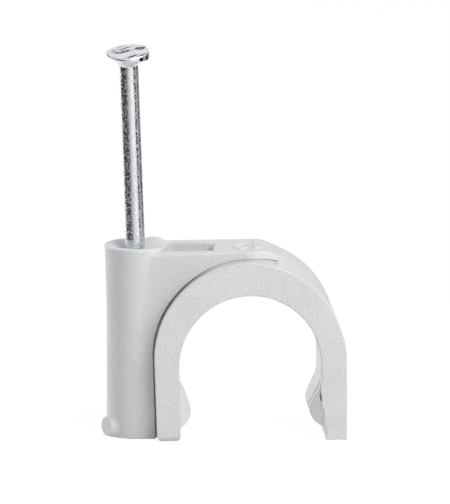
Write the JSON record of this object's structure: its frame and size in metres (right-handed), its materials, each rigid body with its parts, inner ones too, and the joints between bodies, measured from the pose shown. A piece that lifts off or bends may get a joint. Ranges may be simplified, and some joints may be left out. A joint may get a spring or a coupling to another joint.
{
  "type": "nail-in cable clip",
  "caption": "Moulded plastic arch with holding bumps that straddles a round cable, with a steel nail in a side boss that fixes it to a wall.",
  "frame": {"origin": "on the axis of the cable, halfway along the round seat", "axes": "+Y along the cable, +Z away from the wall, +X from the nail towards the free leg"},
  "size_m": [0.0222, 0.0072, 0.036],
  "materials": {
    "clip_plastic": "light grey moulded plastic, matte, with a fine grain",
    "nail_steel": "drawn steel wire, bright zinc plating with darker specks, upset head"
  },
  "bodies": {
    "root": {"clip_body": "clip_plastic", "nail": "nail_steel"}
  },
  "joints": []
}
